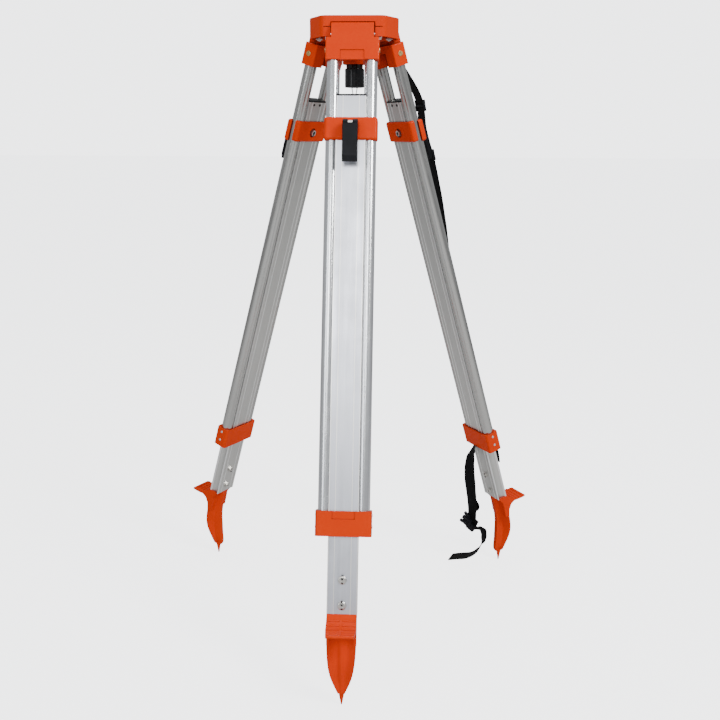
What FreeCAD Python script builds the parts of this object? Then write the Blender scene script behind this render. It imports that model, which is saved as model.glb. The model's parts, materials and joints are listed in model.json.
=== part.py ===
"""Surveyor's tripod: flat head, three telescopic aluminium legs with lever clamps, cast feet and straps.

Millimetres, +Z up. The origin is on the floor, under the centre of the head, with the legs spread.
Each leg is drawn once in its own leg frame and placed three times. In the leg frame
u runs down the leg from the datum near the hinge, v runs sideways and w runs outwards.
"""

import FreeCAD, Part
import math
import os

V = FreeCAD.Vector

# Stance
HEAD_TOP = 1060.0
DATUM_HEIGHT = 1035.0
DATUM_RADIUS = 53.7
LEG_LEAN = 17.454
LEG_AZIMUTHS = {"front": -90.0, "left": 150.0, "right": 30.0}
STRAP_LEG = "right"

# Head casting: a triangle with its corners cut off
HEAD_BOTTOM = 1027.5
LEG_FLAT = 58.3
CORNER_FLAT = 73.3
CORNER_ROUND = 14.0
SKIRT_WALL = 4.0
DECK_BOTTOM = 1050.0
HEAD_HOLE_R = 32.0
HEAD_RING_R = 38.0
HEAD_RING_BOTTOM = 1044.0
NOTCH_HALF = 36.0
NOTCH_BACK = 38.5
WEB_FRONT = 35.5
LUG_OUTER = 41.0
GROOVE_HEIGHT = 1042.4
GROOVE_WIDTH = 1.3
GROOVE_DEPTH = 1.6

# Hinge
HINGE_U = 4.2
HINGE_PIN_R = 2.6
HINGE_BORE_R = 2.66
PIN_BOSS_R = 5.2
TENSION_RADIUS = 42.0
TENSION_HEIGHT = 1029.5
TENSION_BOLT_R = 2.6
TENSION_BOSS_R = 5.5
TENSION_HEX = 10.0
TENSION_HEX_T = 5.0
TONGUE_HALF = 34.5
TONGUE_R = 18.2
TONGUE_BACK = -6.0
BLOCK_TOP_U = 14.0
BLOCK_BOTTOM_U = 50.0
BLOCK_HALF = 43.4
BLOCK_FRONT = 12.5
BLOCK_BACK = -12.5
SOCKET_TOP_U = 20.0

# Upper leg tubes and the collar at their lower end
TUBE_R = 10.5
TUBE_WALL = 1.3
TUBE_V = 30.5
TUBE_BOTTOM_U = 804.0
COLLAR_U = (768.0, 807.0)
COLLAR_HALF = 44.2
COLLAR_DEPTH = 14.0
COLLAR_ROUND = 5.0
COLLAR_RIVETS_U = (775.0, 793.0)
RIVET_R = 2.6

# Sliding rail of the lower leg
RAIL_TOP_U = 109.0
RAIL_BOTTOM_U = 928.0
RAIL_HALF = 23.6
RAIL_DEPTH = 10.0
RAIL_BEAD_DEPTH = 10.5
RAIL_BEAD_V = (13.0, 22.9)
RAIL_FLANK_R = 10.95
RAIL_WALL = 1.7
RAIL_EDGE = 2.2
SLIDE_GAP = 0.45
LID_THICK = 2.6

# Clamp that squeezes the tubes, carried by the rail
CLAMP_U = (144.5, 181.4)
CLAMP_INNER_U = (142.5, 178.5)
CLAMP_HALF = 43.0
CLAMP_DEPTH = 14.5
CLAMP_LIP = 4.2
CLAMP_GAP_R = 10.8
CLAMP_ROUND = 5.5
CLAMP_CORNER = 4.0
PIVOT_U = 161.6
PIVOT_W = 24.0
LEVER_HALF = 12.1
LEVER_R = 9.2
EYE_R = 7.6
LEVER_TIP_U = 221.5

# Foot; its tip stands on the floor
TIP_W = -31.7
TIP_U = (DATUM_HEIGHT + TIP_W * math.sin(math.radians(LEG_LEAN))) / math.cos(math.radians(LEG_LEAN))
FOOT_SCREWS_U = (873.8, 912.7)
FOOT_HALF = 23.4
SPIKE_LENGTH = 26.0
TREAD_RIDGES = [(935.0, 17.0), (940.6, 24.0), (944.4, 32.0), (946.9, 40.5), (948.2, 49.0)]

# Centring arm and fixing screw
ARM_PIVOT_Y = 50.0
ARM_Z = (1037.0, 1041.0)
ARM_HALF = 14.0
ARM_SLOT_HALF = 10.2
ARM_REACH = 12.0
SCREW_R = 7.9375
SHANK_R = 7.4
SCREW_TOP = 1056.0
THREAD_BOTTOM = 1045.0
KNOB_Z = (951.0, 981.5)
KNOB_R = 16.4
KNOB_NECK_R = 14.2
KNOB_HOLLOW = 12.0
FLANGE_Z = (988.0, 996.0)
FLANGE_NECK_TOP = 1001.0
SHOE_BOTTOM = 1017.3
FLANGE_R = 20.0

# Plumb hook inside the knob
HOOK_WIRE_R = 0.9
HOOK_BAR_Z = 957.0
HOOK_PIN_Z = HOOK_BAR_Z - 2 * HOOK_WIRE_R - 0.3
HOOK_BOTTOM = 924.0
HOOK_SPREAD = 5.5

# Webbing
WEB_WIDTH = 25.0
WEB_THICK = 2.0


# ---------------------------------------------------------------- helpers in the row's frame

def box(x, y, z):
    return Part.makeBox(x[1] - x[0], y[1] - y[0], z[1] - z[0], V(x[0], y[0], z[0]))


def rod(radius, z, x=0.0, y=0.0):
    return Part.makeCylinder(radius, z[1] - z[0], V(x, y, z[0]))


def prism(points, z):
    """A solid from z[0] to z[1] over a polygon of (x, y) points."""
    corners = [V(x, y, z[0]) for x, y in points]
    return Part.Face(Part.makePolygon(corners + corners[:1])).extrude(V(0, 0, z[1] - z[0]))


def turned(shape, degrees):
    copy = shape.copy()
    copy.rotate(V(0, 0, 0), V(0, 0, 1), degrees)
    return copy


def smoothed(shape, radius, wanted):
    """The shape with the edges that wanted(edge) picks rounded."""
    return shape.makeFillet(radius, [edge for edge in shape.Edges if wanted(edge)])


def is_along(edge, direction):
    if not isinstance(edge.Curve, Part.Line):
        return False
    return abs(abs(edge.tangentAt(edge.FirstParameter).dot(direction)) - 1) < 1e-6


# ---------------------------------------------------------------- helpers in the leg frame

def leg_box(u, v, w):
    return Part.makeBox(w[1] - w[0], v[1] - v[0], u[1] - u[0], V(w[0], v[0], -u[1]))


def rod_u(radius, u, v=0.0, w=0.0):
    return Part.makeCylinder(radius, u[1] - u[0], V(w, v, -u[1]))


def rod_v(radius, v, u, w=0.0):
    return Part.makeCylinder(radius, v[1] - v[0], V(w, v[0], -u), V(0, 1, 0))


def rod_w(radius, w, u, v=0.0):
    return Part.makeCylinder(radius, w[1] - w[0], V(w[0], v, -u), V(1, 0, 0))


def side_plate(points, v):
    """A solid from v[0] to v[1] over a polygon of (u, w) points."""
    corners = [V(w, v[0], -u) for u, w in points]
    return Part.Face(Part.makePolygon(corners + corners[:1])).extrude(V(0, v[1] - v[0], 0))


def hex_bar(across, start, direction, length):
    """A hexagonal bar from start along direction, either the v or the w axis."""
    radius = across / math.sqrt(3)
    side = V(0, 0, 1).cross(direction)
    corners = []
    for k in range(6):
        angle = math.radians(60 * k)
        corners.append(start + V(0, 0, 1) * radius * math.cos(angle) + side * radius * math.sin(angle))
    return Part.Face(Part.makePolygon(corners + corners[:1])).extrude(direction * length)


def rounded_bar(u, half, w, radius):
    bar = leg_box(u, (-half, half), w)
    return smoothed(bar, radius, lambda edge: is_along(edge, V(0, 0, 1)))


def place_on_leg(shape, azimuth):
    """Moves a shape from the leg frame to its place under the head."""
    turn = FreeCAD.Rotation(V(0, 0, 1), azimuth).multiply(FreeCAD.Rotation(V(0, 1, 0), -LEG_LEAN))
    angle = math.radians(azimuth)
    datum = V(DATUM_RADIUS * math.cos(angle), DATUM_RADIUS * math.sin(angle), DATUM_HEIGHT)
    placed = shape.copy()
    placed.Placement = FreeCAD.Placement(datum, turn).multiply(placed.Placement)
    return placed


def both_sides(make):
    return [make(side) for side in (-1, 1)]


# ---------------------------------------------------------------- head

def head_outline(inset=0.0):
    """Corners of the head's plan, anticlockwise from the end of the front flat."""
    flat, corner = LEG_FLAT - inset, CORNER_FLAT - inset
    reach = (corner - flat / 2) / math.cos(math.radians(30))
    points = []
    for azimuth in LEG_AZIMUTHS["front"], LEG_AZIMUTHS["right"], LEG_AZIMUTHS["left"]:
        angle = math.radians(azimuth)
        for along in (-reach, reach):
            x = flat * math.cos(angle) - along * math.sin(angle)
            y = flat * math.sin(angle) + along * math.cos(angle)
            points.append((x, y))
    return points


def on_leg_flat(x, y, z):
    """A box with x outwards and y sideways, turned to the front leg's azimuth."""
    return turned(box(x, y, z), LEG_AZIMUTHS["front"])


def hinge_line():
    """Radius and height of the hinge axes."""
    lean = math.radians(LEG_LEAN)
    return DATUM_RADIUS + HINGE_U * math.sin(lean), DATUM_HEIGHT - HINGE_U * math.cos(lean)


TENSION_LINE = (TENSION_RADIUS, TENSION_HEIGHT)


def cross_rod(radius, height, size):
    """A rod from lug to lug of the front leg at that radius from the head's axis and that height."""
    rod_across = Part.makeCylinder(size, 2 * LUG_OUTER, V(radius, -LUG_OUTER, height), V(0, 1, 0))
    return turned(rod_across, LEG_AZIMUTHS["front"])


def head_casting():
    body = prism(head_outline(), (HEAD_BOTTOM, HEAD_TOP))
    body = smoothed(body, CORNER_ROUND, lambda edge: is_along(edge, V(0, 0, 1)))
    rim = [edge for edge in body.Edges if min(p.z for p in edge.discretize(3)) > HEAD_TOP - 0.01]
    body = body.makeFillet(2.0, rim)
    plan = smoothed(
        prism(head_outline(), (HEAD_BOTTOM - PIN_BOSS_R, HEAD_TOP)), CORNER_ROUND,
        lambda edge: is_along(edge, V(0, 0, 1)),
    )
    hollow = prism(head_outline(SKIRT_WALL), (HEAD_BOTTOM, DECK_BOTTOM))
    body = body.cut(smoothed(hollow, 3.0, lambda edge: is_along(edge, V(0, 0, 1))))
    body = body.fuse(rod(HEAD_RING_R, (HEAD_RING_BOTTOM, DECK_BOTTOM + 1)))
    body = body.fuse(rod(7.0, (ARM_Z[1] + 0.3, DECK_BOTTOM + 1), 0, ARM_PIVOT_Y))
    lugs = on_leg_flat((WEB_FRONT, LEG_FLAT), (-LUG_OUTER, LUG_OUTER), (HEAD_BOTTOM, DECK_BOTTOM + 1))
    lugs = lugs.fuse([cross_rod(*hinge_line(), PIN_BOSS_R), cross_rod(*TENSION_LINE, TENSION_BOSS_R)])
    notch = on_leg_flat((NOTCH_BACK, 80), (-NOTCH_HALF, NOTCH_HALF), (HEAD_BOTTOM - 20, DECK_BOTTOM))
    groove = on_leg_flat(
        (LEG_FLAT - GROOVE_DEPTH, 80), (-50, 50),
        (GROOVE_HEIGHT - GROOVE_WIDTH / 2, GROOVE_HEIGHT + GROOVE_WIDTH / 2)
    )
    bores = [cross_rod(*hinge_line(), HINGE_PIN_R), cross_rod(*TENSION_LINE, TENSION_BOLT_R)]
    cuts = notch.fuse(bores + [groove])
    for step in (0, 120, 240):
        body = body.fuse(turned(lugs.common(plan), step))
    for step in (0, 120, 240):
        body = body.cut(turned(cuts, step))
    body = body.cut(rod(HEAD_HOLE_R, (HEAD_BOTTOM - 20, HEAD_TOP + 1)))
    body = body.cut(rod(2.5, (ARM_Z[0] - 5, DECK_BOTTOM - 1), 0, ARM_PIVOT_Y))
    return body.removeSplitter()


def hinge_pins():
    """Pins through the lugs and the legs' tongues, ending flush with the lugs."""
    pin = cross_rod(*hinge_line(), HINGE_PIN_R)
    return Part.makeCompound([turned(pin, step) for step in (0, 120, 240)])


def tension_bolts():
    """Bolts behind the hinges that draw each pair of lugs together, with their nuts."""
    radius, height = TENSION_LINE
    pieces = []
    for azimuth in LEG_AZIMUTHS.values():
        head = hex_bar(TENSION_HEX, V(radius, -LUG_OUTER - TENSION_HEX_T, height), V(0, 1, 0), TENSION_HEX_T)
        length = 2 * LUG_OUTER + TENSION_HEX_T + 2
        shank = Part.makeCylinder(TENSION_BOLT_R, length, V(radius, -LUG_OUTER - 1, height), V(0, 1, 0))
        nut = hex_bar(TENSION_HEX, V(radius, LUG_OUTER, height), V(0, 1, 0), TENSION_HEX_T)
        pieces += [turned(head.fuse(shank), azimuth), turned(nut.cut(shank), azimuth)]
    return Part.makeCompound(pieces)


# ---------------------------------------------------------------- centring arm and fixing screw

def centring_arm():
    start = ARM_PIVOT_Y - ARM_REACH
    plate = rod(ARM_HALF, ARM_Z, 0, -ARM_REACH).fuse(rod(8.0, ARM_Z, 0, ARM_PIVOT_Y))
    sides = [(-ARM_HALF, -ARM_REACH), (ARM_HALF, -ARM_REACH), (ARM_HALF, start - 14)]
    sides += [(8, ARM_PIVOT_Y), (-8, ARM_PIVOT_Y), (-ARM_HALF, start - 14)]
    plate = plate.fuse(prism(sides, ARM_Z))
    slot = rod(ARM_SLOT_HALF, ARM_Z, 0, -ARM_REACH).fuse(rod(ARM_SLOT_HALF, ARM_Z, 0, ARM_REACH))
    slot = slot.fuse(box((-ARM_SLOT_HALF, ARM_SLOT_HALF), (-ARM_REACH, ARM_REACH), ARM_Z))
    return plate.cut(slot).cut(rod(2.6, ARM_Z, 0, ARM_PIVOT_Y)).removeSplitter()


def arm_rivet():
    shank = rod(2.5, (ARM_Z[0] - 1, DECK_BOTTOM - 1), 0, ARM_PIVOT_Y)
    return shank.fuse(rod(5.5, (ARM_Z[0] - 2.7, ARM_Z[0] - 0.2), 0, ARM_PIVOT_Y))


def screw_shoe():
    """Bush that carries the screw along the arm's slot."""
    bush = rod(ARM_SLOT_HALF - 0.2, (ARM_Z[0] - 2, ARM_Z[1] + 1.2))
    bush = bush.fuse(rod(13.5, (ARM_Z[0] - 5.2, ARM_Z[0] - 0.2)))
    bush = bush.fuse(rod(12.5, (SHOE_BOTTOM, ARM_Z[0] - 1)))
    bush = bush.fuse(rod(11.5, (ARM_Z[1] + 0.2, ARM_Z[1] + 1.2)))
    return bush.cut(rod(SHANK_R + 0.1, (SHOE_BOTTOM - 1, ARM_Z[1] + 20)))


def screw_flange():
    """Thrust collar that is pulled up under the arm."""
    collar = smoothed(
        rod(FLANGE_R, FLANGE_Z), 1.5, lambda edge: isinstance(edge.Curve, Part.Circle)
    )
    collar = collar.fuse(rod(12.5, (FLANGE_Z[1] - 1, FLANGE_NECK_TOP)))
    return collar.cut(rod(SHANK_R + 0.1, (FLANGE_Z[0] - 5, FLANGE_NECK_TOP + 1)))


def fixing_screw():
    """Hollow screw; its upper end takes an instrument's base."""
    head = rod(SCREW_R, (THREAD_BOTTOM, SCREW_TOP))
    tip = [edge for edge in head.Edges if min(p.z for p in edge.discretize(3)) > SCREW_TOP - 0.01]
    screw = head.makeChamfer(0.8, tip).fuse(rod(SHANK_R, (KNOB_Z[0] + KNOB_HOLLOW, THREAD_BOTTOM)))
    return screw.cut(rod(4.5, (KNOB_Z[0], SCREW_TOP + 1)))


def stop_ring():
    ring = rod(10.4, (ARM_Z[1] + 1.4, ARM_Z[1] + 3.0))
    return ring.cut(rod(SHANK_R, (ARM_Z[1], ARM_Z[1] + 5)))


def screw_knob():
    """Ribbed cylindrical grip with a narrower neck, hollow below."""
    grip = smoothed(rod(KNOB_R, KNOB_Z), 1.6, lambda edge: isinstance(edge.Curve, Part.Circle))
    for k in range(18):
        angle = math.radians(20 * k)
        x, y = (KNOB_R + 0.5) * math.cos(angle), (KNOB_R + 0.5) * math.sin(angle)
        grip = grip.cut(rod(1.3, (KNOB_Z[0] - 1, KNOB_Z[1] + 1), x, y))
    neck = rod(KNOB_NECK_R, (KNOB_Z[1] - 1, FLANGE_Z[0] - 0.2))
    grip = grip.fuse(neck).cut(rod(SHANK_R, (KNOB_Z[0] + KNOB_HOLLOW, FLANGE_Z[0])))
    return grip.cut(rod(12.5, (KNOB_Z[0] - 1, KNOB_Z[0] + KNOB_HOLLOW)))


def wire(points):
    """Round wire along straight runs, with ball corners."""
    piece = Part.makeSphere(HOOK_WIRE_R, points[0])
    for a, b in zip(points, points[1:]):
        piece = piece.fuse(Part.makeCylinder(HOOK_WIRE_R, (b - a).Length, a, b - a))
        piece = piece.fuse(Part.makeSphere(HOOK_WIRE_R, b))
    return piece


def plumb_hook():
    """Triangle of wire that hangs over a cross pin and takes a plumb line."""
    points = [V(-HOOK_SPREAD, 0, HOOK_BAR_Z), V(0, 0, HOOK_BOTTOM), V(HOOK_SPREAD, 0, HOOK_BAR_Z)]
    return wire(points + points[:1])


def plumb_saddle():
    """Two small ears inside the knob with the pin that the hook hangs on."""
    ears = both_sides(lambda side: box((-3, 3), sorted((side * 7.8, side * 10.2)),
                                       (HOOK_PIN_Z - 2.5, KNOB_Z[0] + KNOB_HOLLOW)))
    pin = Part.makeCylinder(HOOK_WIRE_R, 20.4, V(0, -10.2, HOOK_PIN_Z), V(0, 1, 0))
    return ears[0].fuse([ears[1], pin])


# ---------------------------------------------------------------- upper leg

def hinge_block():
    corner_u = HINGE_U - math.sqrt(TONGUE_R ** 2 - BLOCK_FRONT ** 2)
    tongue = rod_v(TONGUE_R, (-TONGUE_HALF, TONGUE_HALF), HINGE_U)
    tongue = tongue.common(leg_box((-20, BLOCK_TOP_U), (-40, 40), (TONGUE_BACK, BLOCK_FRONT)))
    tongue = tongue.fuse(leg_box((corner_u, BLOCK_TOP_U + 2), (-TONGUE_HALF, TONGUE_HALF),
                                 (TONGUE_BACK, BLOCK_FRONT)))
    base = leg_box((BLOCK_TOP_U, BLOCK_BOTTOM_U), (-BLOCK_HALF, BLOCK_HALF), (BLOCK_BACK, BLOCK_FRONT))
    base = smoothed(base, 2.5, lambda edge: is_along(edge, V(0, 0, 1)) or (
        is_along(edge, V(1, 0, 0)) and edge.BoundBox.Center.z > -BLOCK_TOP_U - 1))
    block = base.fuse(tongue).removeSplitter()
    panel = leg_box((34.5, BLOCK_BOTTOM_U + 1), (-19.5, 19.5), (BLOCK_FRONT - 1.2, BLOCK_FRONT + 1))
    block = block.cut(smoothed(panel, 1.1, lambda edge: is_along(edge, V(1, 0, 0))))
    block = block.cut(leg_box((26, BLOCK_BOTTOM_U + 1), (-17, 17), (BLOCK_BACK - 1, BLOCK_FRONT - 5)))
    for side in (-1, 1):
        block = block.cut(rod_u(TUBE_R, (SOCKET_TOP_U, BLOCK_BOTTOM_U + 1), side * TUBE_V))
    return block.cut(rod_v(HINGE_BORE_R, (-60, 60), HINGE_U))


def leg_tube(side):
    tube = rod_u(TUBE_R, (SOCKET_TOP_U, TUBE_BOTTOM_U), side * TUBE_V)
    return tube.cut(rod_u(TUBE_R - TUBE_WALL, (0, TUBE_BOTTOM_U + 1), side * TUBE_V))


def socket_screw(side):
    """Round-headed screw that holds a tube in the hinge block."""
    head = rod_v(4.3, sorted((side * BLOCK_HALF, side * (BLOCK_HALF + 1.2))), 31.0, 1.0)
    head = smoothed(head, 0.6, lambda edge: abs(edge.BoundBox.Center.y) > BLOCK_HALF + 1.0)
    slot = sorted((side * (BLOCK_HALF + 0.6), side * (BLOCK_HALF + 2)))
    return head.cut(leg_box((26, 36), slot, (0.5, 1.5)))


def lower_collar():
    collar = rounded_bar(COLLAR_U, COLLAR_HALF, (-COLLAR_DEPTH, COLLAR_DEPTH), COLLAR_ROUND)
    for side in (-1, 1):
        collar = collar.cut(rod_u(TUBE_R, (COLLAR_U[0] - 1, TUBE_BOTTOM_U), side * TUBE_V))
        collar = collar.cut(rod_u(TUBE_R - TUBE_WALL, (COLLAR_U[0], COLLAR_U[1] + 1), side * TUBE_V))
        for u in COLLAR_RIVETS_U:
            reach = sorted((side * (COLLAR_HALF - 2), side * (COLLAR_HALF + 1)))
            collar = collar.cut(rod_v(RIVET_R, reach, u))
    collar = collar.cut(rail_channel((COLLAR_U[0] - 1, COLLAR_U[1] + 1)))
    panel = leg_box((COLLAR_U[0] - 1, COLLAR_U[0] + 12.5), (-18, 18), (COLLAR_DEPTH - 1.2, COLLAR_DEPTH + 1))
    return collar.cut(panel)


def rail_channel(u):
    """The space that the rail slides in, between the two tubes."""
    half, depth = RAIL_HALF + SLIDE_GAP, RAIL_BEAD_DEPTH + SLIDE_GAP
    return leg_box(u, (-half, half), (-depth, depth))


def collar_rivets():
    rivets = []
    for u in COLLAR_RIVETS_U:
        for side in (-1, 1):
            reach = sorted((side * (COLLAR_HALF - 2), side * (COLLAR_HALF + 0.9)))
            rivet = rod_v(RIVET_R, reach, u)
            rivets.append(smoothed(
                rivet, 0.7, lambda edge: abs(edge.BoundBox.Center.y) > COLLAR_HALF + 0.8
                and isinstance(edge.Curve, Part.Circle)))
    return Part.makeCompound(rivets)


# ---------------------------------------------------------------- lower leg

def leg_rail():
    """Hollow extrusion whose flanks follow the tubes, with raised beads on both faces."""
    body = leg_box((RAIL_TOP_U, RAIL_BOTTOM_U), (-RAIL_HALF, RAIL_HALF), (-RAIL_DEPTH, RAIL_DEPTH))
    for bead in RAIL_BEAD_V:
        for side in (-1, 1):
            strip = leg_box((RAIL_TOP_U, RAIL_BOTTOM_U), (side * bead - 0.7, side * bead + 0.7),
                            (-RAIL_BEAD_DEPTH, RAIL_BEAD_DEPTH))
            body = body.fuse(strip)
    wall_r = RAIL_FLANK_R + RAIL_WALL
    depth = RAIL_DEPTH - RAIL_WALL
    half = RAIL_HALF - RAIL_EDGE
    cavity = leg_box((RAIL_TOP_U - 1, RAIL_BOTTOM_U + 1), (-half, half), (-depth, depth))
    for side in (-1, 1):
        body = body.cut(rod_u(RAIL_FLANK_R, (RAIL_TOP_U - 1, RAIL_BOTTOM_U + 1), side * TUBE_V))
        cavity = cavity.cut(rod_u(wall_r, (RAIL_TOP_U - 2, RAIL_BOTTOM_U + 2), side * TUBE_V))
    body = body.cut(cavity).cut(rod_w(3.2, (-12, 12), PIVOT_U))
    for u in FOOT_SCREWS_U:
        body = body.cut(rod_w(4.0, (-12, 12), u))
    return body.removeSplitter()


def rail_plug(u, inset):
    """A solid that fills the rail's cavity."""
    wall_r = RAIL_FLANK_R + RAIL_WALL + inset
    depth = RAIL_DEPTH - RAIL_WALL - inset
    half = RAIL_HALF - RAIL_EDGE - 0.2 - inset
    plug = leg_box(u, (-half, half), (-depth, depth))
    for side in (-1, 1):
        plug = plug.cut(rod_u(wall_r, (u[0] - 1, u[1] + 1), side * TUBE_V))
    return plug


def end_cap():
    lid = leg_box((RAIL_TOP_U - LID_THICK, RAIL_TOP_U), (-RAIL_HALF, RAIL_HALF),
                  (-RAIL_BEAD_DEPTH, RAIL_BEAD_DEPTH))
    for side in (-1, 1):
        lid = lid.cut(rod_u(RAIL_FLANK_R, (RAIL_TOP_U - 4, RAIL_TOP_U + 1), side * TUBE_V))
    return lid.fuse(rail_plug((RAIL_TOP_U - 0.5, RAIL_TOP_U + 10), 0.1))


def cap_rivets():
    rivets = []
    for v in (-8.5, 8.5):
        rivets.append(rod_w(2.0, (-RAIL_DEPTH - 0.8, -RAIL_DEPTH), RAIL_TOP_U + 5, v))
    return Part.makeCompound(rivets)


def clamp_outer():
    """Outer clamp plate, saddled over both tubes."""
    plate = leg_box(CLAMP_U, (-CLAMP_HALF, CLAMP_HALF), (CLAMP_LIP, CLAMP_DEPTH))
    front = [e for e in plate.Edges if is_along(e, V(0, 0, 1)) and e.BoundBox.Center.x > CLAMP_DEPTH - 1]
    plate = plate.makeFillet(CLAMP_ROUND, front)
    plate = smoothed(plate, CLAMP_CORNER, lambda edge: is_along(edge, V(1, 0, 0)))
    plate = plate.cut(leg_box((CLAMP_U[0] - 1, CLAMP_U[1] + 1), (-TUBE_V, TUBE_V), (0, CLAMP_GAP_R)))
    for side in (-1, 1):
        plate = plate.cut(rod_u(CLAMP_GAP_R, (CLAMP_U[0] - 1, CLAMP_U[1] + 1), side * TUBE_V))
    return plate.cut(rod_w(3.2, (0, 20), PIVOT_U))


def clamp_inner():
    """Inner clamp plate, with a round seat for the tension bolt's nut."""
    plate = leg_box(CLAMP_INNER_U, (-CLAMP_HALF, CLAMP_HALF), (-CLAMP_DEPTH, -CLAMP_LIP))
    back = [e for e in plate.Edges if is_along(e, V(0, 0, 1)) and e.BoundBox.Center.x < 1 - CLAMP_DEPTH]
    plate = plate.makeFillet(CLAMP_ROUND, back)
    plate = smoothed(plate, CLAMP_CORNER, lambda edge: is_along(edge, V(1, 0, 0)))
    span = (CLAMP_INNER_U[0] - 1, CLAMP_INNER_U[1] + 1)
    plate = plate.cut(leg_box(span, (-TUBE_V, TUBE_V), (-CLAMP_GAP_R, 0)))
    for side in (-1, 1):
        plate = plate.cut(rod_u(CLAMP_GAP_R, span, side * TUBE_V))
    plate = plate.cut(rod_w(8.0, (-CLAMP_DEPTH - 1, -CLAMP_DEPTH + 1.6), PIVOT_U))
    return plate.cut(rod_w(3.2, (-20, 0), PIVOT_U))


def clamp_bolt():
    """Tension bolt through the rail; the lever's pin goes through its eye."""
    shank = rod_w(3.0, (-CLAMP_DEPTH - 2.5, PIVOT_W - 3), PIVOT_U)
    eye = rod_v(EYE_R, (-3.6, 3.6), PIVOT_U, PIVOT_W)
    return shank.fuse(eye).cut(rod_v(2.05, (-5, 5), PIVOT_U, PIVOT_W))


def clamp_nut():
    nut = hex_bar(10.0, V(-CLAMP_DEPTH - 3.4, 0, -PIVOT_U), V(1, 0, 0), 5.0)
    return nut.cut(rod_w(3.0, (-30, 0), PIVOT_U))


def clamp_lever():
    """Cam lever: a round cam with two cheeks and a flat handle that lies down the leg."""
    grip = side_plate(
        [(PIVOT_U, PIVOT_W + LEVER_R), (213.0, PIVOT_W + LEVER_R), (LEVER_TIP_U, 31.0), (LEVER_TIP_U, 28.2),
         (215.0, 27.0), (192.0, 26.0), (172.0, 23.0), (PIVOT_U, PIVOT_W - 5.0)], (-LEVER_HALF, LEVER_HALF))
    lever = grip.fuse(rod_v(LEVER_R, (-LEVER_HALF, LEVER_HALF), PIVOT_U, PIVOT_W)).removeSplitter()
    ends = [e for e in lever.Edges if abs(abs(e.BoundBox.Center.y) - LEVER_HALF) < 0.01]
    lever = lever.makeFillet(1.0, ends)
    cheek = (-4.1, 4.1)
    slot = rod_v(EYE_R + 0.5, cheek, PIVOT_U, PIVOT_W)
    slot = slot.fuse(leg_box((PIVOT_U - 12, PIVOT_U - 1), cheek, (10, 40)))
    slot = slot.fuse(leg_box((PIVOT_U - 12, PIVOT_U + 3.6), cheek, (10, PIVOT_W)))
    return lever.cut(slot).cut(rod_v(2.0, (-8.5, 8.5), PIVOT_U, PIVOT_W))


def lever_pin():
    return rod_v(2.0, (-8.5, 8.5), PIVOT_U, PIVOT_W)


# ---------------------------------------------------------------- foot

def blade_section(u, half, edge, dish, rim, spine):
    """Closed outline of the blade across u: a smooth dish with a soft rib outside, a spine inside."""
    shape = [(-1.0, 0.0), (-0.62, 0.72), (-0.3, 0.95), (0.0, 0.55), (0.3, 0.95), (0.62, 0.72), (1.0, 0.0)]
    face = Part.BSplineCurve()
    face.interpolate([V(edge - dish * depth, half * across, -u) for across, depth in shape])
    root, crest = min(8.0, 0.6 * half), min(4.5, 0.4 * half)
    back = [(half, edge), (half, edge - rim), (root, edge - dish - rim), (crest, spine), (-crest, spine),
            (-root, edge - dish - rim), (-half, edge - rim), (-half, edge)]
    corners = [V(w, v, -u) for v, w in back]
    runs = [Part.LineSegment(*run).toShape() for run in zip(corners, corners[1:])]
    return Part.Wire([face.toShape()] + runs)


def step_tread():
    """Curved step in front of the rail, ridged across, with a hollow underneath."""
    profile = [(926.0, 10.55), (934.0, 16.0), (940.5, 24.0), (945.0, 34.0), (947.5, 45.0), (948.6, 54.5),
               (950.4, 56.0), (952.6, 54.6), (951.6, 45.0), (949.6, 34.0), (948.2, 27.0), (952.0, 18.0),
               (962.0, 10.5), (975.0, 7.2), (975.0, -2.0), (928.0, 0.0), (928.0, 10.55)]
    tread = side_plate(profile, (-FOOT_HALF, FOOT_HALF))
    for u, w in TREAD_RIDGES:
        ridge = rod_v(1.5, (-FOOT_HALF, FOOT_HALF), u, w)
        tread = tread.fuse(ridge.cut(leg_box((900, 960), (-2.5, 2.5), (0, 80))))
    hollow = side_plate([(951.5, 38), (949.6, 27), (953, 13), (968, 1), (990, 0), (995, 40)], (-19.5, 19.5))
    corners = [(-5, -FOOT_HALF), (34, -FOOT_HALF), (58, 2 - FOOT_HALF), (58, FOOT_HALF - 2), (34, FOOT_HALF),
               (-5, FOOT_HALF)]
    plan = smoothed(prism(corners, (-980, -915)), 5.0,
                    lambda edge: is_along(edge, V(0, 0, 1)) and edge.BoundBox.Center.x > 50)
    return tread.cut(hollow).common(plan)


def foot_casting():
    """Plug, step tread, dished blade and spike, in one casting."""
    sections = [
        blade_section(RAIL_BOTTOM_U, FOOT_HALF, 10.3, 0.3, 19.0, -10.2),
        blade_section(944, 23.2, 8.4, 2.5, 9.0, -10.8),
        blade_section(964, 23.2, 7.6, 6.0, 4.5, -11.4),
        blade_section(984, 22.8, 6.6, 8.0, 3.4, -14.0),
        blade_section(1002, 21.4, 4.6, 8.0, 3.2, -19.2),
        blade_section(1018, 19.0, -0.4, 7.0, 3.2, -24.4),
        blade_section(1032, 15.2, -7.4, 5.2, 3.4, -29.4),
        blade_section(1045, 10.0, -13.6, 3.0, 5.0, -34.0),
        blade_section(1055, 5.6, -18.0, 0.8, 6.0, -32.0),
    ]
    foot = Part.makeLoft(sections, True, False)
    lean = math.radians(LEG_LEAN)
    upright = V(math.sin(lean), 0, math.cos(lean))
    foot = foot.fuse(Part.makeCone(1.0, 5.6, SPIKE_LENGTH, V(TIP_W, 0, -TIP_U), upright))
    foot = foot.fuse([step_tread(), rail_plug((858, RAIL_BOTTOM_U + 1), 0.15)])
    for u in FOOT_SCREWS_U:
        foot = foot.cut(rod_w(3.0, (-20, 20), u))
    return foot.removeSplitter()


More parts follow.
